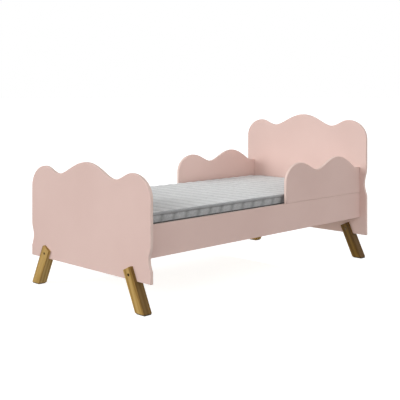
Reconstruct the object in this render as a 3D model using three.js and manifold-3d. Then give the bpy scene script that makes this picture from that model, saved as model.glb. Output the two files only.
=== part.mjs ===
// Toddler bed with cloud-edged end boards, two short guard rails, splayed wooden legs,
// a slatted base and a loose mattress.
// Millimetres, +Z up. X runs from the footboard (-X) to the headboard (+X), Y runs across.
// The origin is on the floor under the middle of the bed. Left is +Y, as seen from the foot
// of the bed looking towards the headboard.
import * as THREE from 'three';
import { mergeVertices } from 'three/addons/utils/BufferGeometryUtils.js';
import Module from 'manifold-3d';

// ---- Driving dimensions ----

const gap = 0.3; // clearance between pieces that touch
const panelThickness = 15; // MDF of the end boards, side rails and guard rails
const panelEdge = 2; // radius of the eased edges of the panels
const innerLength = 1515; // clear length between the two end boards
const innerWidth = 730; // clear width between the two side rails

const boardWidth = 836;
const boardBottom = 125.5; // underside of both end boards above the floor
const footboardPeak = 583;
const headboardPeak = 764;
// The top edge of an end board, out from its centre peak to each side, with drops below the
// peak. It is slightly uneven: the left hump is lower and further out than the right one.
const cloud = {
  left: { valleyAt: 204, valleyDrop: 63, humpAt: 309, humpDrop: 35, shoulderDrop: 137 },
  right: { valleyAt: 189, valleyDrop: 60, humpAt: 302, humpDrop: 26, shoulderDrop: 125 },
};
// How far the top edge's curves reach sideways, level, from each hump, valley and peak.
const crestReach = { hump: 39, outerValley: 45, innerValley: 52, peak: 84 };
// The shallow bay in each side edge: heights above the floor of its ends and its deepest point.
const footboardBay = { corner: 173, deepest: 221, start: 282, depth: 13.5 };
const headboardBay = { corner: 338, deepest: 396, start: 495, depth: 14 };

const rail = { bottom: 219, top: 352 };
// The guard rail: distances from its front end, and heights above the side rail.
const guard = {
  length: 629.5,
  shoulderHeight: 101,
  frontHump: { at: 112, height: 190 },
  valley: { at: 252, height: 148 },
  backHump: { at: 426, height: 203 },
  flat: { at: 584, height: 135 },
};
const guardJointInset = 130; // from each end of a guard rail to its plate
const guardDowelInset = 230; // from each end of a guard rail to its dowel
const guardPlate = { width: 40, height: 62, thickness: 2.5, below: 34 };
const guardDowel = { radius: 4, length: 40 };

const leg = {
  tilt: 25.5, // degrees from upright, in the Y-Z plane
  width: 51,
  thickness: 42,
  length: 193, // along its axis, from the floor to its top
  floorCentre: 369.5, // from the bed's centre line to its axis at the floor
  corner: 4,
  edge: 1.5,
};
const pad = { length: 38, width: 52, thickness: 3, corner: 4 };
const legBolt = {
  height: 149, // above the floor
  headRadius: 6,
  headLength: 4,
  headSunk: 1.5,
  shankRadius: 3,
  length: 38,
  socketWidth: 4,
  socketDepth: 2.5,
};
const legNut = { radius: 5.5, flangeRadius: 7.5, flangeThickness: 1.5, length: 10, sunk: 0.5 };

const ledge = { width: 20, height: 30, length: 1500, bottom: 224 };
const slat = { count: 12, width: 80, thickness: 16, corner: 4, endClearance: 0.5 };
const bracket = { reach: 40, thickness: 2.5, height: 60, bottom: 283, boltAt: 24 };
const bracketBolt = {
  headRadius: 6,
  headLength: 3,
  shankRadius: 3,
  length: 12,
  socketWidth: 4,
  socketDepth: 1.8,
};
const mattress = { length: 1500, width: 700, height: 125, corner: 36, edge: 14 };

const curveSteps = 12; // straight steps along each curve of a panel's outline
const cornerSteps = 3; // straight steps around a small rounded corner
const roundSides = 16;

// ---- Places worked out from them ----

const boardX = (innerLength + panelThickness) / 2;
const railY = (innerWidth + panelThickness) / 2;
const guardBackEnd = innerLength / 2 - gap;
const guardFrontEnd = guardBackEnd - guard.length;
const slatBottom = ledge.bottom + ledge.height + gap;
const mattressBottom = slatBottom + slat.thickness + gap;
const tilt = THREE.MathUtils.degToRad(leg.tilt);
const legBoltY = leg.floorCentre - Math.tan(tilt) * legBolt.height;

const ends = [
  { name: 'foot', side: -1 },
  { name: 'head', side: 1 },
];
const sides = [
  { name: 'left', side: 1 },
  { name: 'right', side: -1 },
];

// ---- Materials ----

const paint = new THREE.MeshStandardMaterial({ color: 0xdcbbb0, roughness: 0.45, metalness: 0 });
const legWood = new THREE.MeshStandardMaterial({ color: 0xa8813f, roughness: 0.5, metalness: 0 });
const pine = new THREE.MeshStandardMaterial({ color: 0xdcc193, roughness: 0.65, metalness: 0 });
const steel = new THREE.MeshStandardMaterial({ color: 0xb9bcc0, roughness: 0.35, metalness: 1 });
const felt = new THREE.MeshStandardMaterial({ color: 0x3b3630, roughness: 0.95, metalness: 0 });
const ticking = new THREE.MeshStandardMaterial({ color: 0xc9cac9, roughness: 0.9, metalness: 0 });

// ---- Geometry helpers ----

const wasm = await Module();
wasm.setup();

// A closed geometry as a solid that can be cut.
function solidOf(geometry) {
  const bare = geometry.index ? geometry.toNonIndexed() : geometry.clone();
  bare.deleteAttribute('normal');
  bare.deleteAttribute('uv');
  const merged = mergeVertices(bare, 1e-3);
  return new wasm.Manifold(
    new wasm.Mesh({
      numProp: 3,
      vertProperties: new Float32Array(merged.attributes.position.array),
      triVerts: new Uint32Array(merged.index.array),
    }),
  );
}

function geometryOf(solid) {
  const mesh = solid.getMesh();
  const geometry = new THREE.BufferGeometry();
  geometry.setAttribute('position', new THREE.BufferAttribute(mesh.vertProperties, 3));
  geometry.setIndex(new THREE.BufferAttribute(mesh.triVerts, 1));
  geometry.computeVertexNormals();
  return geometry;
}

function cut(geometry, tools) {
  const solid = tools.reduce((rest, tool) => rest.subtract(solidOf(tool)), solidOf(geometry));
  return geometryOf(solid);
}

// A plate of the given outline with eased edges, centred on its own thickness.
function plate(outline, thickness, edge) {
  return new THREE.ExtrudeGeometry(outline, {
    depth: thickness - 2 * edge,
    bevelEnabled: edge > 0,
    bevelThickness: edge,
    bevelSize: edge,
    bevelOffset: -edge,
    bevelSegments: 2,
    curveSegments: cornerSteps,
  }).translate(0, 0, edge - thickness / 2);
}

// Turns a plate drawn in X and Y so that its outline stands in the Y-Z plane.
function standAcross(geometry) {
  return geometry.applyMatrix4(
    new THREE.Matrix4().makeBasis(
      new THREE.Vector3(0, 1, 0),
      new THREE.Vector3(0, 0, 1),
      new THREE.Vector3(1, 0, 0),
    ),
  );
}

// Turns a plate drawn in X and Y so that its outline stands in the X-Z plane.
function standAlong(geometry) {
  return geometry.rotateX(Math.PI / 2);
}

// A polygon whose corners are rounded off.
function roundedPolygon(corners, radius) {
  const shape = new THREE.Shape();
  corners.forEach((corner, i) => {
    const before = corners[(i + corners.length - 1) % corners.length];
    const after = corners[(i + 1) % corners.length];
    const from = corner.clone().add(before.clone().sub(corner).setLength(radius));
    const to = corner.clone().add(after.clone().sub(corner).setLength(radius));
    if (i === 0) shape.moveTo(from.x, from.y);
    else shape.lineTo(from.x, from.y);
    shape.quadraticCurveTo(corner.x, corner.y, to.x, to.y);
  });
  shape.closePath();
  return shape;
}

function roundedRectangle(width, height, radius) {
  const x = width / 2;
  const y = height / 2;
  const corners = [[-x, -y], [x, -y], [x, y], [-x, y]];
  return roundedPolygon(corners.map(([u, v]) => new THREE.Vector2(u, v)), radius);
}

// A drill: a round bar along X, centred on the point.
function drill(radius, length, x, y, z) {
  return new THREE.CylinderGeometry(radius, radius, length, roundSides)
    .rotateZ(Math.PI / 2)
    .translate(x, y, z);
}

// A bolt along +X from its head at the origin, with a hexagon socket in the head.
function boltGeometry(bolt) {
  const profile = [
    [0, 0],
    [bolt.headRadius, 0],
    [bolt.headRadius, bolt.headLength],
    [bolt.shankRadius, bolt.headLength],
    [bolt.shankRadius, bolt.length],
    [0, bolt.length],
  ].map(([x, y]) => new THREE.Vector2(x, y));
  const body = new THREE.LatheGeometry(profile, roundSides);
  const socket = new THREE.CylinderGeometry(
    bolt.socketWidth / Math.sqrt(3),
    bolt.socketWidth / Math.sqrt(3),
    2 * bolt.socketDepth,
    6,
  );
  return cut(body, [socket]).rotateZ(-Math.PI / 2);
}

const bed = new THREE.Group();

function addMesh(parent, name, geometry, material) {
  const mesh = new THREE.Mesh(geometry, material);
  mesh.name = name;
  parent.add(mesh);
  return mesh;
}

// ---- End boards ----

// Half of an end board's outline, from the middle of its bottom edge to its peak. It is drawn
// on the positive side.
function halfBoardOutline(peak, bay, crest) {
  const half = boardWidth / 2;
  const waist = half - bay.depth;
  const shoulder = peak - crest.shoulderDrop;
  const hump = peak - crest.humpDrop;
  const valley = peak - crest.valleyDrop;
  const rise = bay.start - bay.deepest;
  const fall = bay.deepest - bay.corner;
  const path = new THREE.Path();
  path.moveTo(0, boardBottom);
  path.lineTo(half, boardBottom);
  path.lineTo(half, bay.corner);
  path.quadraticCurveTo(waist, bay.deepest - fall * 0.45, waist, bay.deepest);
  path.bezierCurveTo(waist, bay.deepest + rise * 0.45, half, bay.start - rise * 0.5, half, bay.start);
  path.lineTo(half, shoulder);
  path.absellipse(crest.humpAt, shoulder, half - crest.humpAt, hump - shoulder, 0, Math.PI / 2);
  path.bezierCurveTo(
    crest.humpAt - crestReach.hump,
    hump,
    crest.valleyAt + crestReach.outerValley,
    valley,
    crest.valleyAt,
    valley,
  );
  path.bezierCurveTo(
    crest.valleyAt - crestReach.innerValley,
    valley,
    crestReach.peak,
    peak,
    0,
    peak,
  );
  return path;
}

function boardOutline(peak, bay) {
  const left = halfBoardOutline(peak, bay, cloud.left).getPoints(curveSteps);
  const right = halfBoardOutline(peak, bay, cloud.right).getPoints(curveSteps);
  const mirrored = right.slice(1, -1).reverse().map((p) => new THREE.Vector2(-p.x, p.y));
  return new THREE.Shape([...left, ...mirrored]);
}

// The side of an end board that faces the mattress is at -end.side along X.
function boardHoles(end) {
  const legHoles = sides.map(({ side }) =>
    drill(legBolt.shankRadius + gap, 2 * panelThickness, 0, side * legBoltY, legBolt.height),
  );
  const depth = bracketBolt.length - bracketBolt.headLength - bracket.thickness + 1;
  const bracketHoles = sides.map(({ side }) =>
    drill(
      bracketBolt.shankRadius + gap,
      2 * depth,
      (-end.side * panelThickness) / 2,
      side * (innerWidth / 2 - bracket.boltAt),
      bracket.bottom + bracket.height / 2,
    ),
  );
  return [...legHoles, ...bracketHoles];
}

function addBoard(name, end, peak, bay) {
  const blank = standAcross(plate(boardOutline(peak, bay), panelThickness, panelEdge));
  const board = addMesh(bed, name, cut(blank, boardHoles(end)), paint);
  board.position.x = end.side * boardX;
}

addBoard('footboard', ends[0], footboardPeak, footboardBay);
addBoard('headboard', ends[1], headboardPeak, headboardBay);

// ---- Side rails ----

const dowelXs = [guardFrontEnd + guardDowelInset, guardBackEnd - guardDowelInset];

// A drill for a dowel: a round bar along Z, centred on the seam under the guard rail.
function dowelDrill(x) {
  const radius = guardDowel.radius + gap;
  return new THREE.CylinderGeometry(radius, radius, guardDowel.length + 2, roundSides)
    .rotateX(Math.PI / 2)
    .translate(x, 0, rail.top);
}

// Blind holes for the bracket bolts, from the rail's inner face.
function railBoltDrills(side) {
  const depth = bracketBolt.length - bracketBolt.headLength - bracket.thickness + 1;
  return ends.map((end) =>
    new THREE.CylinderGeometry(
      bracketBolt.shankRadius + gap,
      bracketBolt.shankRadius + gap,
      2 * depth,
      roundSides,
    ).translate(
      end.side * (innerLength / 2 - bracket.boltAt),
      (-side * panelThickness) / 2,
      bracket.bottom + bracket.height / 2,
    ),
  );
}

function addSideRail({ name, side }) {
  const x = innerLength / 2 - gap;
  const outline = new THREE.Shape([
    new THREE.Vector2(-x, rail.bottom),
    new THREE.Vector2(x, rail.bottom),
    new THREE.Vector2(x, rail.top),
    new THREE.Vector2(-x, rail.top),
  ]);
  const blank = standAlong(plate(outline, panelThickness, panelEdge / 2));
  const tools = [...railBoltDrills(side), ...dowelXs.map(dowelDrill)];
  const mesh = addMesh(bed, `side_rail_${name}`, cut(blank, tools), paint);
  mesh.position.y = side * railY;
}

sides.forEach(addSideRail);

// ---- Guard rails ----

function guardOutline() {
  const { frontHump, valley, backHump, flat } = guard;
  const base = rail.top + gap;
  const x = (distance) => guardFrontEnd + distance;
  const z = (height) => rail.top + height;
  const path = new THREE.Path();
  path.moveTo(guardBackEnd, base);
  path.lineTo(guardBackEnd, z(flat.height));
  path.lineTo(x(flat.at), z(flat.height));
  path.bezierCurveTo(
    x(flat.at - 35), z(flat.height + 22),
    x(backHump.at + 62), z(backHump.height),
    x(backHump.at), z(backHump.height),
  );
  path.bezierCurveTo(
    x(backHump.at - 72), z(backHump.height),
    x(valley.at + 48), z(valley.height),
    x(valley.at), z(valley.height),
  );
  path.bezierCurveTo(
    x(valley.at - 42), z(valley.height),
    x(frontHump.at + 55), z(frontHump.height),
    x(frontHump.at), z(frontHump.height),
  );
  path.absellipse(
    x(frontHump.at), z(guard.shoulderHeight),
    frontHump.at, frontHump.height - guard.shoulderHeight,
    Math.PI / 2, Math.PI,
  );
  path.lineTo(guardFrontEnd, base);
  return new THREE.Shape(path.getPoints(curveSteps));
}

function addGuardRail({ name, side }) {
  const blank = standAlong(plate(guardOutline(), panelThickness, panelEdge));
  const mesh = addMesh(bed, `guard_rail_${name}`, cut(blank, dowelXs.map(dowelDrill)), paint);
  mesh.position.y = side * railY;
}

sides.forEach(addGuardRail);

// A steel plate joins each guard rail to the side rail on the inside, below the mattress's top,
// and two dowels in the seam hold it in line.
function addGuardJoints({ name, side }) {
  const plateXs = { front: guardFrontEnd + guardJointInset, back: guardBackEnd - guardJointInset };
  const outline = roundedRectangle(guardPlate.width, guardPlate.height, guardPlate.thickness);
  for (const [place, x] of Object.entries(plateXs)) {
    const geometry = standAlong(plate(outline, guardPlate.thickness, 0));
    const mesh = addMesh(bed, `guard_plate_${name}_${place}`, geometry, steel);
    mesh.position.set(
      x,
      side * (innerWidth / 2 - gap - guardPlate.thickness / 2),
      rail.top - guardPlate.below + guardPlate.height / 2,
    );
  }
  ['front', 'back'].forEach((place, i) => {
    const geometry = new THREE.CylinderGeometry(
      guardDowel.radius, guardDowel.radius, guardDowel.length, roundSides,
    ).rotateX(Math.PI / 2);
    const mesh = addMesh(bed, `guard_dowel_${name}_${place}`, geometry, pine);
    mesh.position.set(dowelXs[i], side * railY, rail.top);
  });
}

sides.forEach(addGuardJoints);

// ---- Legs ----

// The leg's outline in the Y-Z plane, leaning inwards from the floor, with a level foot and a
// square-cut top.
function legOutline() {
  const up = new THREE.Vector2(-Math.sin(tilt), Math.cos(tilt));
  const outwards = new THREE.Vector2(Math.cos(tilt), Math.sin(tilt)).multiplyScalar(leg.width / 2);
  const foot = pad.thickness + gap;
  const axisAt = (height) => leg.floorCentre - Math.tan(tilt) * height;
  const halfFoot = leg.width / 2 / Math.cos(tilt);
  const top = new THREE.Vector2(leg.floorCentre, 0).addScaledVector(up, leg.length);
  return roundedPolygon(
    [
      new THREE.Vector2(axisAt(foot) - halfFoot, foot),
      new THREE.Vector2(axisAt(foot) + halfFoot, foot),
      top.clone().add(outwards),
      top.clone().sub(outwards),
    ],
    leg.corner,
  );
}

// The slot that takes the end board, with its floor against the board's bottom edge.
function legSlot() {
  const width = panelThickness + 2 * gap;
  const height = 2 * leg.length;
  return new THREE.BoxGeometry(width, 4 * leg.width, height)
    .translate(0, legBoltY, boardBottom - gap + height / 2);
}

// A leg with its bolt, nut and felt pad. The bolt's head is sunk in the prong on the outside of
// the board, and the nut in the prong on the inside. Built for the foot end, leaning from +Y.
function legGeometry() {
  const outerFace = -leg.thickness / 2;
  const innerFace = leg.thickness / 2;
  const headDepth = legBolt.headLength + legBolt.headSunk + gap;
  const nutDepth = legNut.length + legNut.sunk + gap;
  return cut(standAcross(plate(legOutline(), leg.thickness, leg.edge)), [
    legSlot(),
    drill(legBolt.shankRadius + gap, 2 * leg.thickness, 0, legBoltY, legBolt.height),
    drill(legBolt.headRadius + gap, 2 * headDepth, outerFace, legBoltY, legBolt.height),
    drill(legNut.radius + gap, 2 * nutDepth, innerFace, legBoltY, legBolt.height),
    drill(
      legNut.flangeRadius + gap,
      2 * (legNut.flangeThickness + legNut.sunk + gap),
      innerFace,
      legBoltY,
      legBolt.height,
    ),
  ]);
}

// The nut's barrel with a flange, along +X, with the flange's face at its far end.
function legNutGeometry() {
  const bore = legBolt.shankRadius + gap;
  const flangeFrom = legNut.length - legNut.flangeThickness;
  const profile = [
    [bore, 0],
    [legNut.radius, 0],
    [legNut.radius, flangeFrom],
    [legNut.flangeRadius, flangeFrom],
    [legNut.flangeRadius, legNut.length],
    [bore, legNut.length],
    [bore, 0],
  ].map(([x, y]) => new THREE.Vector2(x, y));
  return new THREE.LatheGeometry(profile, roundSides).rotateZ(-Math.PI / 2);
}

function addLeg(end, { name, side }) {
  const place = `${end.name}_${name}`;
  const corner = new THREE.Group();
  corner.position.x = end.side * boardX;
  corner.scale.set(-end.side, side, 1);
  bed.add(corner);
  addMesh(corner, `leg_${place}`, legGeometry(), legWood);
  const bolt = addMesh(corner, `leg_bolt_${place}`, boltGeometry(legBolt), steel);
  bolt.position.set(legBolt.headSunk - leg.thickness / 2, legBoltY, legBolt.height);
  const nut = addMesh(corner, `leg_nut_${place}`, legNutGeometry(), steel);
  nut.position.set(leg.thickness / 2 - legNut.sunk - legNut.length, legBoltY, legBolt.height);
  const sole = new THREE.ExtrudeGeometry(roundedRectangle(pad.length, pad.width, pad.corner), {
    depth: pad.thickness,
    bevelEnabled: false,
    curveSegments: cornerSteps,
  });
  addMesh(corner, `felt_pad_${place}`, sole, felt).position.y = leg.floorCentre;
}

ends.forEach((end) => sides.forEach((side) => addLeg(end, side)));

// ---- Slatted base ----

function addLedge({ name, side }) {
  const outline = roundedRectangle(ledge.width, ledge.height, 1.5);
  const geometry = new THREE.ExtrudeGeometry(outline, {
    depth: ledge.length,
    bevelEnabled: false,
    curveSegments: cornerSteps,
  }).translate(0, 0, -ledge.length / 2);
  const mesh = addMesh(bed, `slat_ledge_${name}`, standAcross(geometry), pine);
  mesh.position.set(
    0,
    side * (innerWidth / 2 - gap - ledge.width / 2),
    ledge.bottom + ledge.height / 2,
  );
}

function addSlat(index) {
  const length = innerWidth - 2 * slat.endClearance;
  const outline = roundedRectangle(slat.width, slat.thickness, slat.corner);
  const geometry = new THREE.ExtrudeGeometry(outline, {
    depth: length,
    bevelEnabled: false,
    curveSegments: cornerSteps,
  }).translate(0, 0, -length / 2);
  const name = `slat_${String(index + 1).padStart(2, '0')}`;
  const mesh = addMesh(bed, name, standAlong(geometry), pine);
  const pitch = innerLength / slat.count;
  mesh.position.set((index + 0.5) * pitch - innerLength / 2, 0, slatBottom + slat.thickness / 2);
}

sides.forEach(addLedge);
for (let i = 0; i < slat.count; i += 1) addSlat(i);

// ---- Corner brackets ----

// An angle of steel in the corner at the origin, with its legs along +X and +Y.
function bracketGeometry() {
  const { reach, thickness, height, boltAt } = bracket;
  const outline = new THREE.Shape([
    new THREE.Vector2(gap, gap),
    new THREE.Vector2(reach, gap),
    new THREE.Vector2(reach, thickness + gap),
    new THREE.Vector2(thickness + gap, thickness + gap),
    new THREE.Vector2(thickness + gap, reach),
    new THREE.Vector2(gap, reach),
  ]);
  const angle = new THREE.ExtrudeGeometry(outline, { depth: height, bevelEnabled: false });
  const radius = bracketBolt.shankRadius + gap;
  const hole = new THREE.CylinderGeometry(radius, radius, 4 * thickness, roundSides)
    .translate(boltAt, 0, height / 2);
  const otherHole = drill(radius, 4 * thickness, 0, boltAt, height / 2);
  return cut(angle, [hole, otherHole]);
}

// The bracket's leg along the side rail and its leg along the end board each take one bolt.
function addBracket(end, { name, side }) {
  const place = `${end.name}_${name}`;
  const corner = new THREE.Group();
  corner.position.set((end.side * innerLength) / 2, (side * innerWidth) / 2, bracket.bottom);
  corner.scale.set(-end.side, -side, 1);
  bed.add(corner);
  addMesh(corner, `corner_bracket_${place}`, bracketGeometry(), steel);
  const headFace = bracket.thickness + bracketBolt.headLength + 2 * gap;
  const toBoard = addMesh(corner, `board_bolt_${place}`, boltGeometry(bracketBolt), steel);
  toBoard.rotation.z = Math.PI;
  toBoard.position.set(headFace, bracket.boltAt, bracket.height / 2);
  const toRail = addMesh(corner, `rail_bolt_${place}`, boltGeometry(bracketBolt), steel);
  toRail.rotation.z = -Math.PI / 2;
  toRail.position.set(bracket.boltAt, headFace, bracket.height / 2);
}

ends.forEach((end) => sides.forEach((side) => addBracket(end, side)));

// ---- Mattress ----

function addMattress() {
  const outline = roundedRectangle(mattress.length, mattress.width, mattress.corner);
  const geometry = plate(outline, mattress.height, mattress.edge);
  const mesh = addMesh(bed, 'mattress', geometry, ticking);
  mesh.position.z = mattressBottom + mattress.height / 2;
}

addMattress();

export default bed;
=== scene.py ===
"""Toddler bed with cloud-edged boards: looks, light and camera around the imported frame.

Metres, +Z up. X runs from the footboard to the headboard and Y across the bed.
"""

import math

import bmesh
import bpy
from mathutils import Matrix, Vector, noise


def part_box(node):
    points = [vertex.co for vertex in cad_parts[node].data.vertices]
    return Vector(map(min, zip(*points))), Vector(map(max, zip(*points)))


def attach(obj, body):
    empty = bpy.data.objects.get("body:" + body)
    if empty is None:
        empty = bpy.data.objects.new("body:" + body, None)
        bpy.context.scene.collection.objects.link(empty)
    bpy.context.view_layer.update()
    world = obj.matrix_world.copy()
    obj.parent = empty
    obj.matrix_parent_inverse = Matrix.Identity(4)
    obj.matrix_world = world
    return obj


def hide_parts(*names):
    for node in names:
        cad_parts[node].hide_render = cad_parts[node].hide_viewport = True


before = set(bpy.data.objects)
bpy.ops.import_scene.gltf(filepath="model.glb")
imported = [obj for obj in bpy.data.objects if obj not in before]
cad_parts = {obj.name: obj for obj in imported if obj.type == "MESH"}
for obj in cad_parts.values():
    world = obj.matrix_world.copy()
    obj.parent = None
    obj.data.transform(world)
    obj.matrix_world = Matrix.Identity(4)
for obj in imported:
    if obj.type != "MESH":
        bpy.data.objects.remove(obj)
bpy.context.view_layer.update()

MM = 0.001

# ---- View and light ----

CAMERA_AT = (-2.7857, -2.6928, 0.8674)
CAMERA_HEADING = 44.827 - 90  # degrees about Z; 0 looks along +Y
CAMERA_LENS = 69.56
CAMERA_SHIFT = -0.2598
FLOOR_SIZE = 400.0
# A row of soft lamps beyond the footboard: degrees round from its normal towards +Y,
# degrees up, and strength.
KEY_ROW = ((-45, 15, 0.28), (-22, 15, 0.49), (22, 15, 0.74), (22, 27, 0.75), (45, 15, 0.39))
KEY_SPREAD = 20  # degrees each lamp spans
SKY = 0.27  # light from all over the room's upper half
SIDE_LIGHT = 1.5  # a wide light along the -Y side of the bed
BACK_LIGHT = 0.55  # weaker ones along the headboard's end and the +Y side
FLOOR_BOUNCE = 1.4  # light coming back up from below
UNDER_BED_LIGHT = 0.6  # watts
UNDER_BED_LAMP = (0.6, 0.06)  # width and height
UNDER_BED_LAMP_AWAY = 0.45  # from the headboard's inner face
UNDER_BED_LAMP_HEIGHT = 0.05
FLOOR_GLOW = 0.80  # keeps the floor white under the bed

# ---- Colours (linear) ----

PINK_DEEP = (0.662, 0.478, 0.430, 1)
PINK_LIGHT = (0.692, 0.508, 0.458, 1)
# Paler pink of the boards' routed edges: a painted highlight.
PINK_EDGE_HIGHLIGHT = (0.720, 0.565, 0.505, 1)
LEG_TONES = ((0.22, 0.120, 0.026, 1), (0.39, 0.240, 0.070, 1), (0.50, 0.330, 0.115, 1))
# Tones for the head end's -Y leg, darker all over as painted shade from the bed above it.
SHADED_LEG_TONES = ((0.085, 0.040, 0.005, 1), (0.155, 0.082, 0.011, 1), (0.22, 0.125, 0.022, 1))
LEG_OUTER_SHADE = (0.10, 0.046, 0.005, 1)
PINE_TONES = ((0.50, 0.32, 0.14, 1), (0.70, 0.51, 0.28, 1), (0.78, 0.60, 0.37, 1))
FABRIC_DARK = (0.58, 0.59, 0.59, 1)
FABRIC_LIGHT = (0.73, 0.74, 0.74, 1)
# The border's greys, darker than the top's, partly as painted shade on the mattress's sides.
BORDER_DARK = (0.39, 0.40, 0.405, 1)
BORDER_LIGHT = (0.58, 0.59, 0.595, 1)
# Near-black painted shade where the border dips between the rails, and on the base.
GAP_SHADE_DARK = (0.060, 0.056, 0.053, 1)
GAP_SHADE_LIGHT = (0.110, 0.104, 0.098, 1)
# The tape's greys, darker than the border's, partly as painted shade under the top's edge.
TAPE_DARK = (0.28, 0.285, 0.29, 1)
TAPE_LIGHT = (0.42, 0.425, 0.43, 1)
# Grey of the painted shade towards the mattress's sewn seams.
SEAM_SHADE_GREY = (0.14, 0.145, 0.15, 1)
ZINC_DARK = (0.46, 0.47, 0.49, 1)
ZINC_LIGHT = (0.62, 0.63, 0.65, 1)
BRONZE_DARK = (0.060, 0.040, 0.022, 1)
BRONZE_LIGHT = (0.13, 0.090, 0.052, 1)
FELT_DARK = (0.020, 0.018, 0.016, 1)
FELT_LIGHT = (0.060, 0.053, 0.046, 1)

LEG_LEAN = 25.5  # degrees a leg's grain leans from upright
LEG_RINGS = 16 * MM  # pitch of the growth rings
WAVE_PITCH = 0.314  # in a wave texture, the pitch of its bands times its scale
KNIT_WALE = 1.6 * MM  # width of a column of the fabric's loops
KNIT_COURSE = 1.2 * MM  # height of a row of them

# ---- Mattress ----

CHANNELS = 21  # sewn channels along the mattress, one of them split between its two ends
END_CHANNELS = 10  # the same across it, on its short ends
CHANNEL_CELLS = 6  # mesh cells across one channel
# Mesh levels down the border, from the top edge to halfway; the lower half mirrors them.
EDGE_LEVELS = (0, 2 * MM, 7 * MM, 13 * MM, 20 * MM, 30 * MM, 43 * MM)
TAPE_LEVEL = 2  # of those, where the tape runs
CREASE_LEVEL = 3  # where the border is sewn in under it
GAP_SHADE_LEVEL = 6  # where the near-black painted shade of the gap by the rails begins
CORNER_RADIUS = 36 * MM
MARGIN = 2.5 * MM  # space the shell leaves to swell into
CHANNEL_RISE = 5.0 * MM  # a channel's middle over its seams, before it swells
TOP_WANDER = 0.6 * MM  # height of the top's slow waves
EDGE_DROP = 1.0 * MM
EDGE_ROUND = 3.0 * MM  # how far the top edge draws in above the tape
BORDER_BULGE = 4.0 * MM
WAIST = 13.0 * MM  # how far the border draws in halfway down
SEAM_CREASE = 0.75
SWELL_FRAMES = 20
SWELL_CAP = 5.0 * MM
TAPE_HALF_HEIGHT = 6.0 * MM
TAPE_HALF_THICK = 2.6 * MM

# ---- Screws ----

HEAD_RADIUS = 4.0 * MM
HEAD_SIDES = 20
HEAD_DEPTH = 1.6 * MM
HEAD_PROUD = 0.15 * MM
CROSS_ARM = 2.4 * MM
CROSS_HALF_WIDTH = 0.5 * MM
CROSS_DEPTH = 0.9 * MM
# Where the screws sit, as shares of a piece's length, width or height.
SLAT_SCREWS = (0.25, 0.75)
PLATE_SCREW_COLUMNS = (0.25, 0.75)
PLATE_SCREW_ROWS = (0.14, 0.40, 0.66, 0.86)
LEDGE_SCREWS = 7  # along each ledge


# ---------------------------------------------------------------- materials


class Nodes:
    """A node tree, with short ways to add nodes and join them."""

    def __init__(self, tree):
        self.tree = tree

    def feed(self, socket, value):
        if isinstance(value, bpy.types.NodeSocket):
            self.tree.links.new(value, socket)
        else:
            socket.default_value = value

    def add(self, kind, inputs, **settings):
        node = self.tree.nodes.new(kind)
        for key, value in settings.items():
            setattr(node, key, value)
        for key, value in inputs.items():
            self.feed(node.inputs[key], value)
        return node

    def maths(self, operation, first, second=0.0):
        node = self.add("ShaderNodeMath", {}, operation=operation)
        self.feed(node.inputs[0], first)
        self.feed(node.inputs[1], second)
        return node.outputs["Value"]

    def choose(self, factor, low, high):
        """The number low where factor is 0, and high where it is 1."""
        inputs = {"Factor": factor, "A": low, "B": high}
        return self.add("ShaderNodeMix", inputs).outputs["Result"]

    def part_of(self, vector, axis):
        return self.add("ShaderNodeSeparateXYZ", {"Vector": vector}).outputs[axis]


class Shader(Nodes):
    """A material built up from a Principled BSDF."""

    def __init__(self, name, roughness=0.5, metallic=0.0):
        self.material = bpy.data.materials.new(name)
        self.material.use_nodes = True
        super().__init__(self.material.node_tree)
        self.bsdf = self.tree.nodes["Principled BSDF"]
        self.bsdf.inputs["Roughness"].default_value = roughness
        self.bsdf.inputs["Metallic"].default_value = metallic
        texture = self.tree.nodes.new("ShaderNodeTexCoord")
        self.place = texture.outputs["Object"]
        self.facing = texture.outputs["Normal"]

    def noise(self, scale, detail=2.0, rough=0.5, at=None, distort=0.0):
        inputs = {
            "Vector": at or self.place,
            "Scale": scale,
            "Detail": detail,
            "Roughness": rough,
            "Distortion": distort,
        }
        return self.add("ShaderNodeTexNoise", inputs).outputs["Fac"]

    def stretched(self, scale, turn=(0, 0, 0), shift=(0, 0, 0)):
        """The place in a turned frame, with lengths divided by scale."""
        inputs = {"Vector": self.place, "Location": shift, "Rotation": turn, "Scale": scale}
        return self.add("ShaderNodeMapping", inputs, vector_type="TEXTURE").outputs["Vector"]

    def ramp(self, factor, stops):
        node = self.add("ShaderNodeValToRGB", {"Fac": factor})
        elements = node.color_ramp.elements
        while len(elements) < len(stops):
            elements.new(0.5)
        for element, (position, colour) in zip(elements, stops):
            element.position = position
            element.color = colour
        return node.outputs["Color"]

    def blend(self, factor, low, high):
        """The colour low where factor is 0, and high where it is 1."""
        node = self.add("ShaderNodeMix", {"Factor": factor}, data_type="RGBA")
        # A mix node's sockets for numbers and vectors come before those for colours.
        self.feed(node.inputs[6], low)
        self.feed(node.inputs[7], high)
        return node.outputs[2]

    def fit(self, value, low, high, out_low, out_high, clamp=True):
        inputs = {
            "Value": value,
            "From Min": low,
            "From Max": high,
            "To Min": out_low,
            "To Max": out_high,
        }
        return self.add("ShaderNodeMapRange", inputs, clamp=clamp).outputs["Result"]

    def bands(self, pitch, axis):
        """Fine wavy bands, one after another along an axis."""
        inputs = {"Vector": self.place, "Scale": WAVE_PITCH / pitch, "Distortion": 0.6}
        return self.add("ShaderNodeTexWave", inputs, bands_direction=axis).outputs["Fac"]

    def bump(self, height, distance, strength=1.0, over=None):
        inputs = {"Height": height, "Distance": distance, "Strength": strength}
        node = self.add("ShaderNodeBump", inputs)
        if over is not None:
            self.feed(node.inputs["Normal"], over)
        return node.outputs["Normal"]

    def finish(self, colour=None, roughness=None, normal=None):
        for name, value in (("Base Color", colour), ("Roughness", roughness), ("Normal", normal)):
            if value is not None:
                self.feed(self.bsdf.inputs[name], value)
        return self.material


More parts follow.
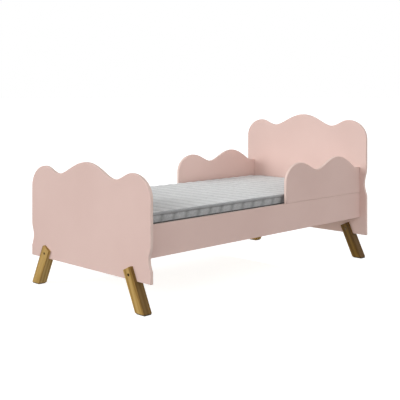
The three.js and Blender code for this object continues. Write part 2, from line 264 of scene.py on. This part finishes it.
def painted_mdf(name, face_axis):
    """Satin lacquer on MDF. The routed edges, which face away from face_axis, drink more paint, so
    they are rougher and show fibre; their paler pink is a painted highlight.
    """
    s = Shader(name)
    s.bsdf.inputs["Specular IOR Level"].default_value = 0.35
    facing = s.maths("ABSOLUTE", s.part_of(s.facing, face_axis))
    edge = s.fit(facing, 0.3, 0.85, 1.0, 0.0)
    tone = s.fit(s.noise(3.0, detail=3), 0.35, 0.65, 0.0, 1.0)
    face_colour = s.blend(tone, PINK_DEEP, PINK_LIGHT)
    fibre = s.noise(900.0, detail=3)
    edge_highlight_share = s.maths("MULTIPLY", edge, s.fit(fibre, 0.3, 0.7, 0.45, 1.0))
    # the edges' paler pink is a painted highlight
    colour = s.blend(edge_highlight_share, face_colour, PINK_EDGE_HIGHLIGHT)
    satin = s.fit(s.noise(14.0, detail=4), 0.3, 0.7, 0.40, 0.50)
    roughness = s.maths("ADD", satin, s.maths("MULTIPLY", edge, 0.16))
    peel = s.bump(s.noise(420.0, detail=2), 0.0002, 0.35)
    grain = s.maths("MULTIPLY", edge, fibre)
    return s.finish(colour, roughness, s.bump(grain, 0.0003, 0.5, over=peel))


def wood(name, tones, turn, ring_pitch, roughness, knots=0.0, shaded_side=0):
    """Planed wood whose grain runs along local Z once turned.

    Given 1 or -1 for the side to shade, the faces towards +Y or -Y are darkened as painted shade,
    blotched by the patch noise.
    """
    s = Shader(name)
    s.bsdf.inputs["Specular IOR Level"].default_value = 0.2
    along = s.stretched((1, 1, 14), turn, shift=(0.11, 0.07, 0))
    sway = s.noise(9.0, detail=3, at=along)
    wave_inputs = {
        "Vector": along,
        "Scale": WAVE_PITCH / ring_pitch,
        "Distortion": 5.0,
        "Detail": 3.0,
        "Detail Scale": 1.4,
        "Phase Offset": s.maths("MULTIPLY", sway, 14.0),
    }
    wave = s.add("ShaderNodeTexWave", wave_inputs, wave_type="RINGS", rings_direction="Z")
    rings = s.fit(wave.outputs["Fac"], 0.15, 0.95, 0.0, 1.0)
    streak = s.noise(260.0, detail=4, rough=0.65, at=s.stretched((1, 1, 40), turn))
    figure = s.maths("ADD", s.maths("MULTIPLY", rings, 0.55), s.maths("MULTIPLY", streak, 0.6))
    patch = s.noise(16.0, detail=2, at=s.stretched((1, 1, 5), turn))
    tone = s.maths("ADD", figure, s.fit(patch, 0.3, 0.7, -0.22, 0.22))
    colour = s.ramp(tone, [(0.12, tones[0]), (0.48, tones[1]), (0.92, tones[2])])
    if knots:
        knot_inputs = {"Vector": s.stretched((1, 1, 2.2), turn), "Scale": 5.5}
        knot = s.add("ShaderNodeTexVoronoi", knot_inputs)
        share = s.fit(knot.outputs["Distance"], 0.0, 0.055, knots, 0.0)
        colour = s.blend(share, colour, tones[0])
    # painted shade on the leg's outward faces, blotched by the patch noise
    if shaded_side:
        sideways = s.maths("MULTIPLY", s.part_of(s.facing, "Y"), shaded_side)
        outer = s.fit(sideways, 0.5, 0.8, 0.0, 1.0)
        painted_shade_share = s.fit(patch, 0.3, 0.7, 0.65, 0.95)
        colour = s.blend(s.maths("MULTIPLY", outer, painted_shade_share), colour, LEG_OUTER_SHADE)
    pores = s.noise(1500.0, detail=2, at=s.stretched((1, 1, 30), turn))
    rough = s.fit(streak, 0.3, 0.7, roughness - 0.06, roughness + 0.08)
    return s.finish(colour, rough, s.bump(s.maths("ADD", pores, rings), 0.00025, 0.45))


def leg_wood(name, tones, side):
    """The stained wood of a leg on the bed's +Y side (1) or -Y side (-1), with painted shade on its
    outward faces.
    """
    turn = (side * math.radians(LEG_LEAN), 0, 0)
    return wood(name, tones, turn, LEG_RINGS, 0.46, shaded_side=side)


def plated_steel(name, dark, light):
    s = Shader(name, roughness=0.35, metallic=1.0)
    spangle = s.noise(220.0, detail=3)
    colour = s.blend(s.fit(spangle, 0.35, 0.65, 0, 1), dark, light)
    scratches = s.noise(700.0, detail=2, at=s.stretched((1, 1, 12)))
    roughness = s.fit(s.noise(90.0, detail=4), 0.3, 0.7, 0.28, 0.46)
    return s.finish(colour, roughness, s.bump(scratches, 0.0001, 0.4))


def pressed_felt():
    s = Shader("pressed_felt", roughness=0.95)
    s.bsdf.inputs["Sheen Weight"].default_value = 0.25
    fibres = s.noise(1400.0, detail=5, rough=0.7, distort=1.5)
    colour = s.blend(s.fit(fibres, 0.35, 0.65, 0, 1), FELT_DARK, FELT_LIGHT)
    return s.finish(colour, None, s.bump(fibres, 0.0006, 0.8))


def mattress_fabric(name, dark, light, seam_shade):
    """Fine knit with a melange of greys, with painted shade darkening it towards the sewn seams
    across the bed.
    """
    s = Shader(name, roughness=0.9)
    s.bsdf.inputs["Sheen Weight"].default_value = 0.25
    s.bsdf.inputs["Sheen Roughness"].default_value = 0.5
    melange = s.noise(160.0, detail=5, rough=0.7, at=s.stretched((1, 4, 1)))
    cloud = s.noise(6.0, detail=2)
    tone = s.maths("ADD", s.fit(melange, 0.3, 0.7, 0.0, 0.8), s.fit(cloud, 0.3, 0.7, 0.0, 0.25))
    low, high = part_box("mattress")
    pitch = (high.x - low.x) / CHANNELS
    along = s.fit(s.part_of(s.place, "X"), low.x, low.x + pitch, 0.0, 1.0, clamp=False)
    off_seam = s.maths("ABSOLUTE", s.maths("SUBTRACT", s.maths("FRACT", along), 0.5))
    colour = s.blend(tone, dark, light)
    # painted shade towards the seams, where the fabric dips between channels
    colour = s.blend(s.fit(off_seam, 0.0, 0.25, seam_shade, 0.0), colour, SEAM_SHADE_GREY)
    loops = s.maths("MULTIPLY", s.bands(KNIT_WALE, "X"), s.bands(KNIT_COURSE, "Y"))
    crease = s.bump(s.noise(38.0, detail=3), 0.0016, 0.12)
    return s.finish(colour, None, s.bump(loops, 0.0005, 0.6, over=crease))


# ---------------------------------------------------------------- CAD nodes


def smooth_edges_group(limit=math.radians(50)):
    """Welds a CAD node's triangles and shades its eased edges smoothly, leaving its shape alone."""
    group = bpy.data.node_groups.new("smooth_edges", "GeometryNodeTree")
    group.interface.new_socket("Geometry", in_out="INPUT", socket_type="NodeSocketGeometry")
    group.interface.new_socket("Geometry", in_out="OUTPUT", socket_type="NodeSocketGeometry")
    kinds = {
        "input": "NodeGroupInput",
        "weld": "GeometryNodeMergeByDistance",
        "plain": "GeometryNodeRemoveAttribute",
        "faces": "GeometryNodeSetShadeSmooth",
        "edges": "GeometryNodeSetShadeSmooth",
        "output": "NodeGroupOutput",
    }
    nodes = {key: group.nodes.new(kind) for key, kind in kinds.items()}
    nodes["weld"].inputs["Distance"].default_value = 0.01 * MM
    nodes["plain"].inputs["Name"].default_value = "custom_normal"
    nodes["edges"].domain = "EDGE"
    chain = list(kinds)
    for first, second in zip(chain, chain[1:]):
        group.links.new(nodes[first].outputs["Geometry"], nodes[second].inputs["Geometry"])
    angle = group.nodes.new("GeometryNodeInputMeshEdgeAngle")
    gentle = group.nodes.new("FunctionNodeCompare")
    gentle.operation = "LESS_THAN"
    gentle.inputs["B"].default_value = limit
    group.links.new(angle.outputs["Unsigned Angle"], gentle.inputs["A"])
    group.links.new(gentle.outputs["Result"], nodes["edges"].inputs["Shade Smooth"])
    return group


def dress_cad_nodes():
    """Gives every CAD node that stays its material and smooth shading."""
    group = smooth_edges_group()
    steel = plated_steel("zinc_steel", ZINC_DARK, ZINC_LIGHT)
    bronzed = plated_steel("bronzed_steel", BRONZE_DARK, BRONZE_LIGHT)
    materials = {
        "footboard": painted_mdf("painted_board", "X"),
        "side_rail": painted_mdf("painted_rail", "Y"),
        "leg_bolt": bronzed,
        "leg_nut": bronzed,
        "felt_pad": pressed_felt(),
        "slat_ledge": wood("pine_along", PINE_TONES, (0, math.radians(90), 0), 0.005, 0.6),
        "slat": wood("pine_across", PINE_TONES, (math.radians(90), 0, 0), 0.007, 0.6, knots=0.9),
        "guard_dowel": wood("beech_dowel", PINE_TONES, (0, 0, 0), 0.003, 0.6),
        "guard_plate": steel,
        "corner_bracket": steel,
        "board_bolt": steel,
        "rail_bolt": steel,
    }
    materials["headboard"] = materials["footboard"]
    materials["guard_rail"] = materials["side_rail"]
    for leg, tones, side in (
        ("leg_foot_left", LEG_TONES, 1),
        ("leg_foot_right", LEG_TONES, -1),
        ("leg_head_left", LEG_TONES, 1),
        # this leg's darker tones are painted shade
        ("leg_head_right", SHADED_LEG_TONES, -1),
    ):
        materials[leg] = leg_wood(f"{leg}_wood", tones, side)
    for name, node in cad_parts.items():
        if name == "mattress":
            continue
        prefix = max((p for p in materials if name.startswith(p)), key=len)
        node.material_slots[0].material = materials[prefix]
        shading = node.modifiers.new("smooth_edges", "NODES")
        shading.node_group = group
        weighted = node.modifiers.new("flat_faces", "WEIGHTED_NORMAL")
        weighted.keep_sharp = True
    return steel


# ---------------------------------------------------------------- mattress


def new_piece(name, mesh, material, body):
    piece = bpy.data.objects.new(name, mesh)
    bpy.context.scene.collection.objects.link(piece)
    mesh.materials.append(material)
    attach(piece, body)
    return piece


def hump(t):
    """0 at both ends of 0 to 1 and 1 in the middle, steep at the ends like stuffed fabric."""
    return max(math.sin(math.pi * min(max(t, 0.0), 1.0)), 0.0) ** 0.7


class MattressShell:
    """A closed box of mesh cells, rounded and sewn, with its seams on lines of vertices."""

    def __init__(self):
        low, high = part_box("mattress")
        self.centre = (low + high) / 2
        self.half = (high - low) / 2
        self.counts = (CHANNELS * CHANNEL_CELLS, END_CHANNELS * CHANNEL_CELLS, 2 * len(EDGE_LEVELS))
        self.mesh = bmesh.new()
        self.verts = {}
        self.build()

    def on_side(self, cell):
        return cell[0] in (0, self.counts[0]) or cell[1] in (0, self.counts[1])

    def on_surface(self, cell):
        return self.on_side(cell) or cell[2] in (0, self.counts[2])

    def edge_level(self, cell):
        """Levels between a vertex and the nearer of the border's two edges."""
        return min(cell[2], self.counts[2] - cell[2])

    def channel_share(self, cell):
        """How far across its channel a vertex lies, from 0 to 1."""
        along_end = self.on_side(cell) and cell[0] in (0, self.counts[0])
        step = cell[1] if along_end else cell[0]
        return (step + CHANNEL_CELLS // 2) % CHANNEL_CELLS / CHANNEL_CELLS

    def is_seam(self, cell):
        """True on the channel seams and on the seams along the border's edges."""
        along_edge = self.edge_level(cell) in (TAPE_LEVEL, CREASE_LEVEL) or cell[2] == GAP_SHADE_LEVEL
        return self.channel_share(cell) == 0 or (along_edge and self.on_side(cell))

    def plan(self, x, y):
        """Bends the square corners of the plan into round ones."""
        past_x = (abs(x) - self.half.x + CORNER_RADIUS) / CORNER_RADIUS
        past_y = (abs(y) - self.half.y + CORNER_RADIUS) / CORNER_RADIUS
        if past_x <= 0 or past_y <= 0:
            return x, y
        round_x = past_x * math.sqrt(1 - past_y**2 / 2)
        round_y = past_y * math.sqrt(1 - past_x**2 / 2)
        new_x = self.half.x - CORNER_RADIUS * (1 - round_x)
        new_y = self.half.y - CORNER_RADIUS * (1 - round_y)
        return math.copysign(new_x, x), math.copysign(new_y, y)

    def border_inset(self, drop, puff):
        """How far inside its outline the border lies, at a drop from the nearer edge."""
        crease = EDGE_LEVELS[CREASE_LEVEL]
        if drop < crease:
            shoulder = 1 - drop / EDGE_LEVELS[TAPE_LEVEL]
            return MARGIN + EDGE_ROUND * max(shoulder, 0) ** 2
        share = (drop - crease) / (self.half.z - crease)
        waist = WAIST * math.sin(share * math.pi / 2)
        return MARGIN + waist + BORDER_BULGE * (1 - hump(share) * (0.3 + 0.7 * puff))

    def place(self, cell):
        """Where a vertex starts, before the fabric swells."""
        i, j, k = cell
        u = 2 * i / self.counts[0] - 1
        v = 2 * j / self.counts[1] - 1
        puff = hump(self.channel_share(cell))
        crown = (1 - u**40) * (1 - v**20)
        dip = CHANNEL_RISE * (1 - puff) * (0.2 + 0.8 * crown)
        level = self.half.z - EDGE_DROP * (1 - crown) - dip
        inset = MARGIN
        if self.on_side(cell):
            step = self.edge_level(cell)
            drop = EDGE_LEVELS[step] if step < len(EDGE_LEVELS) else level
            inset = self.border_inset(min(drop, level), puff)
            level -= drop
        x, y = self.plan(u * self.half.x, v * self.half.y)
        x *= 1 - inset / self.half.x
        y *= 1 - inset / self.half.y
        z = math.copysign(level, self.counts[2] / 2 - k)
        if not self.on_side(cell):
            z += TOP_WANDER * noise.noise(Vector((x * 9, y * 9, level)))
        return self.centre + Vector((x, y, z))

    def build(self):
        nx, ny, nz = self.counts
        for i in range(nx + 1):
            for j in range(ny + 1):
                for k in range(nz + 1):
                    if self.on_surface((i, j, k)):
                        self.verts[i, j, k] = self.mesh.verts.new(self.place((i, j, k)))
        for axis in range(3):
            self.wall(axis, 0)
            self.wall(axis, self.counts[axis])
        bmesh.ops.recalc_face_normals(self.mesh, faces=self.mesh.faces)
        crease = self.mesh.edges.layers.float.new("crease_edge")
        seams = {vert for cell, vert in self.verts.items() if self.is_seam(cell)}
        for edge in self.mesh.edges:
            if edge.verts[0] in seams and edge.verts[1] in seams:
                edge[crease] = SEAM_CREASE

    def fabric_of(self, depth, flat):
        """0 on the top, 1 round the border, whose darker greys are partly painted shade, and 2 on
        the base and the border's lower part, a near-black painted shade.
        """
        if depth >= GAP_SHADE_LEVEL:
            return 2
        return 0 if flat else 1

    def wall(self, axis, level):
        """Fills one side of the box with square faces."""
        first, second = [a for a in range(3) if a != axis]
        for a in range(self.counts[first]):
            for b in range(self.counts[second]):
                corners = []
                for da, db in ((0, 0), (1, 0), (1, 1), (0, 1)):
                    cell = [0, 0, 0]
                    cell[axis] = level
                    cell[first] = a + da
                    cell[second] = b + db
                    corners.append(self.verts[tuple(cell)])
                face = self.mesh.faces.new(corners)
                face.smooth = True
                face.material_index = self.fabric_of(level if axis == 2 else b, axis == 2)

    def border_loop(self, k):
        """The vertices round the border at one level, in order."""
        nx, ny, _ = self.counts
        loop = [(i, 0, k) for i in range(nx)]
        loop += [(nx, j, k) for j in range(ny)]
        loop += [(i, ny, k) for i in range(nx, 0, -1)]
        loop += [(0, j, k) for j in range(ny, 0, -1)]
        return loop


def swell(piece, pinned):
    """Blows the sewn shell up a little as cloth held at its seams, and keeps the result."""
    rest = [v.co.copy() for v in piece.data.vertices]
    group = piece.vertex_groups.new(name="seams")
    group.add(pinned, 1.0, "REPLACE")
    cloth = piece.modifiers.new("cloth", "CLOTH")
    settings = cloth.settings
    settings.quality = 6
    settings.mass = 0.02
    settings.tension_stiffness = 12
    settings.compression_stiffness = 12
    settings.shear_stiffness = 5
    settings.bending_stiffness = 1.5
    settings.shrink_min = -0.012
    settings.use_pressure = True
    settings.uniform_pressure_force = 4.0
    settings.vertex_group_mass = "seams"
    settings.effector_weights.gravity = 0
    cloth.collision_settings.use_collision = False
    cloth.collision_settings.use_self_collision = False
    cloth.point_cache.frame_start = 1
    cloth.point_cache.frame_end = SWELL_FRAMES
    scene = bpy.context.scene
    for number in range(1, SWELL_FRAMES + 1):
        scene.frame_set(number)
    shaped = piece.evaluated_get(bpy.context.evaluated_depsgraph_get())
    moved = [v.co.copy() for v in shaped.data.vertices]
    piece.modifiers.remove(cloth)
    piece.vertex_groups.remove(group)
    scene.frame_set(1)
    for vertex, start, end in zip(piece.data.vertices, rest, moved):
        move = end - start
        if move.length > SWELL_CAP:
            move *= SWELL_CAP / move.length
        vertex.co = start + move


def edge_tape(points, sides=10):
    """A soft flat tape bound round the edge, through the points."""
    mesh = bmesh.new()
    rings = []
    count = len(points)
    up = Vector((0, 0, 1))
    for index, point in enumerate(points):
        ahead = (points[(index + 1) % count] - points[index - 1]).normalized()
        out = ahead.cross(up).normalized() * TAPE_HALF_THICK
        ring = []
        for side in range(sides):
            turn = 2 * math.pi * side / sides
            offset = out * math.cos(turn) + up * TAPE_HALF_HEIGHT * math.sin(turn)
            ring.append(mesh.verts.new(point + offset))
        rings.append(ring)
    for ring, after in zip(rings, rings[1:] + rings[:1]):
        for side in range(sides):
            beside = (side + 1) % sides
            mesh.faces.new((ring[side], ring[beside], after[beside], after[side])).smooth = True
    bmesh.ops.recalc_face_normals(mesh, faces=mesh.faces)
    data = bpy.data.meshes.new("edge_tape")
    mesh.to_mesh(data)
    mesh.free()
    return data


def make_mattress():
    shell = MattressShell()
    shell.mesh.verts.index_update()
    pinned = [vert.index for cell, vert in shell.verts.items() if shell.is_seam(cell)]
    edges = {}
    for name, level in (("top", TAPE_LEVEL), ("bottom", shell.counts[2] - TAPE_LEVEL)):
        edges[name] = [shell.verts[cell].co.copy() for cell in shell.border_loop(level)]
    data = bpy.data.meshes.new("mattress_cover")
    shell.mesh.to_mesh(data)
    shell.mesh.free()
    fabric = mattress_fabric("mattress_fabric", FABRIC_DARK, FABRIC_LIGHT, 0.35)
    cover = new_piece("mattress_cover", data, fabric, "mattress")
    # the border's darker greys are partly painted shade
    data.materials.append(mattress_fabric("border_fabric", BORDER_DARK, BORDER_LIGHT, 0.5))
    # near-black painted shade on the border's lower part and the base
    data.materials.append(mattress_fabric("gap_shade_fabric", GAP_SHADE_DARK, GAP_SHADE_LIGHT, 0.3))
    swell(cover, pinned)
    finer = cover.modifiers.new("finer", "SUBSURF")
    finer.levels = 1
    finer.render_levels = 1
    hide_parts("mattress")
    # the tape's darker grey is partly painted shade
    ribbed = mattress_fabric("edge_tape", TAPE_DARK, TAPE_LIGHT, 0.2)
    for name, loop in edges.items():
        new_piece(f"mattress_tape_{name}", edge_tape(loop), ribbed, "mattress")


# ---------------------------------------------------------------- screws


def screw_head(mesh, where):
    """A flat screw head with a cross recess, facing local +Z, added to mesh."""

    def ring(radius, z):
        turns = [2 * math.pi * n / HEAD_SIDES for n in range(HEAD_SIDES)]
        spots = [Vector((radius * math.cos(t), radius * math.sin(t), z)) for t in turns]
        return [mesh.verts.new(where @ spot) for spot in spots]

    def cross(size, half, z):
        corner = [(size, -half), (size, half), (half, half)]
        spots = []
        for quarter in range(4):
            turn = Matrix.Rotation(quarter * math.pi / 2, 3, "Z")
            spots += [turn @ Vector((x, y, z)) for x, y in corner]
        return [mesh.verts.new(where @ spot) for spot in spots]

    def join(first, second):
        count = len(first)
        for n in range(count):
            beside = (n + 1) % count
            mesh.faces.new((first[n], first[beside], second[beside], second[n]))

    def loop_edges(loop):
        pairs = zip(loop, loop[1:] + loop[:1])
        return [mesh.edges.get(pair) or mesh.edges.new(pair) for pair in pairs]

    rim = ring(HEAD_RADIUS, 0)
    recess = cross(CROSS_ARM, CROSS_HALF_WIDTH, 0)
    join(ring(HEAD_RADIUS * 0.5, -HEAD_DEPTH), rim)
    floor = cross(CROSS_ARM * 0.8, CROSS_HALF_WIDTH * 0.7, -CROSS_DEPTH)
    join(recess, floor)
    mesh.faces.new(floor)
    bmesh.ops.triangle_fill(mesh, edges=loop_edges(rim) + loop_edges(recess), use_beauty=True)


def screws(name, places, steel):
    mesh = bmesh.new()
    for place in places:
        screw_head(mesh, place)
    holes = [e for e in mesh.edges if e.is_boundary]
    bmesh.ops.holes_fill(mesh, edges=holes, sides=0)
    bmesh.ops.recalc_face_normals(mesh, faces=mesh.faces)
    data = bpy.data.meshes.new(name)
    mesh.to_mesh(data)
    mesh.free()
    return new_piece(name, data, steel, "frame")


def between(low, high, share):
    """The place at a share of the way from low to high."""
    return low + share * (high - low)


def slat_screw_places():
    """Two screws through each end of each slat into the ledge below."""
    places = []
    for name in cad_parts:
        if not (name.startswith("slat_") and name[-1].isdigit()):
            continue
        low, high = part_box(name)
        for side in ("left", "right"):
            ledge_low, ledge_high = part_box(f"slat_ledge_{side}")
            y = (ledge_low.y + ledge_high.y) / 2
            for share in SLAT_SCREWS:
                x = between(low.x, high.x, share)
                places.append(Matrix.Translation((x, y, high.z + HEAD_PROUD)))
    return places


def inner_screw_places(side, sign):
    """The screws of the ledge and the guard rail's plates on one side rail, facing inwards."""
    spots = []
    low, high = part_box(f"slat_ledge_{side}")
    y = low.y if sign > 0 else high.y
    for n in range(LEDGE_SCREWS):
        x = between(low.x, high.x, (n + 0.5) / LEDGE_SCREWS)
        spots.append((x, y, (low.z + high.z) / 2))
    for place in ("front", "back"):
        low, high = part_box(f"guard_plate_{side}_{place}")
        y = low.y if sign > 0 else high.y
        for u in PLATE_SCREW_COLUMNS:
            for v in PLATE_SCREW_ROWS:
                spots.append((between(low.x, high.x, u), y, between(low.z, high.z, v)))
    face_in = Matrix.Rotation(math.radians(90 * sign), 4, "X")
    proud = Vector((0, -sign * HEAD_PROUD, 0))
    return [Matrix.Translation(Vector(spot) + proud) @ face_in for spot in spots]


def make_screws(steel):
    screws("slat_screws", slat_screw_places(), steel)
    for side, sign in (("left", 1), ("right", -1)):
        screws(f"inner_screws_{side}", inner_screw_places(side, sign), steel)


# ---------------------------------------------------------------- stage


def floor_lamp():
    """A low lamp under the bed that lights the foot of the headboard, as a white floor would."""
    low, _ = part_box("headboard")
    data = bpy.data.lights.new("under_bed", "AREA")
    data.shape = "RECTANGLE"
    data.size, data.size_y = UNDER_BED_LAMP
    data.energy = UNDER_BED_LIGHT
    lamp = bpy.data.objects.new("under_bed", data)
    lamp.location = (low.x - UNDER_BED_LAMP_AWAY, 0, UNDER_BED_LAMP_HEIGHT)
    lamp.rotation_euler = (math.radians(90), 0, math.radians(-90))
    lamp.visible_camera = False
    bpy.context.scene.collection.objects.link(lamp)


def key_lamp(azimuth, elevation, strength):
    """One distant lamp of the row beyond the footboard."""
    data = bpy.data.lights.new("key", "SUN")
    data.energy = strength
    data.angle = math.radians(KEY_SPREAD)
    lamp = bpy.data.objects.new("key", data)
    around, up = math.radians(azimuth), math.radians(elevation)
    level = math.cos(up)
    travel = Vector((math.cos(around) * level, -math.sin(around) * level, -math.sin(up)))
    lamp.rotation_euler = travel.to_track_quat("-Z", "Y").to_euler()
    bpy.context.scene.collection.objects.link(lamp)


def make_world():
    """Soft light by direction, and plain white where the camera looks past the floor."""
    world = bpy.data.worlds.new("studio")
    bpy.context.scene.world = world
    world.use_nodes = True
    w = Nodes(world.node_tree)
    direction = w.add("ShaderNodeTexCoord", {}).outputs["Generated"]
    toward_x, toward_y, toward_z = (w.part_of(direction, axis) for axis in "XYZ")

    def wide_light(toward, strength):
        return w.maths("MULTIPLY", w.maths("POWER", w.maths("MAXIMUM", toward), 2), strength)

    above = w.maths("ADD", wide_light(w.maths("MULTIPLY", toward_y, -1), SIDE_LIGHT), SKY)
    for toward in (toward_x, toward_y):
        above = w.maths("ADD", above, wide_light(toward, BACK_LIGHT))
    below = w.maths("MULTIPLY", w.maths("POWER", w.maths("ABSOLUTE", toward_z), 4), FLOOR_BOUNCE)
    strength = w.choose(w.maths("GREATER_THAN", toward_z), below, above)
    seen = w.add("ShaderNodeLightPath", {}).outputs["Is Camera Ray"]
    background = world.node_tree.nodes["Background"]
    w.feed(background.inputs["Color"], (1, 1, 1, 1))
    w.feed(background.inputs["Strength"], w.choose(seen, strength, 1.0))


def make_floor():
    """A pale floor that only the camera sees; light from below comes from the world instead."""
    mesh = bpy.data.meshes.new("floor")
    h = FLOOR_SIZE / 2
    mesh.from_pydata([(-h, -h, 0), (h, -h, 0), (h, h, 0), (-h, h, 0)], [], [(0, 1, 2, 3)])
    floor = bpy.data.objects.new("floor", mesh)
    bpy.context.scene.collection.objects.link(floor)
    s = Shader("pale_floor", roughness=1.0)
    s.bsdf.inputs["Base Color"].default_value = (0.5, 0.5, 0.5, 1)
    s.bsdf.inputs["Specular IOR Level"].default_value = 0.0
    s.bsdf.inputs["Emission Color"].default_value = (1, 1, 1, 1)
    s.bsdf.inputs["Emission Strength"].default_value = FLOOR_GLOW
    mesh.materials.append(s.material)
    for kind in ("diffuse", "glossy", "transmission", "shadow"):
        setattr(floor, f"visible_{kind}", False)


def make_camera():
    data = bpy.data.cameras.new("camera")
    data.lens = CAMERA_LENS
    data.sensor_width = 36
    data.shift_y = CAMERA_SHIFT
    data.clip_end = 1000
    camera = bpy.data.objects.new("camera", data)
    camera.location = CAMERA_AT
    camera.rotation_euler = (math.radians(90), 0, math.radians(CAMERA_HEADING))
    bpy.context.scene.collection.objects.link(camera)
    bpy.context.scene.camera = camera


def make_stage():
    bpy.context.scene.view_settings.view_transform = "Standard"
    make_world()
    make_floor()
    for lamp in KEY_ROW:
        key_lamp(*lamp)
    floor_lamp()
    make_camera()


make_stage()
zinc = dress_cad_nodes()
make_screws(zinc)
make_mattress()
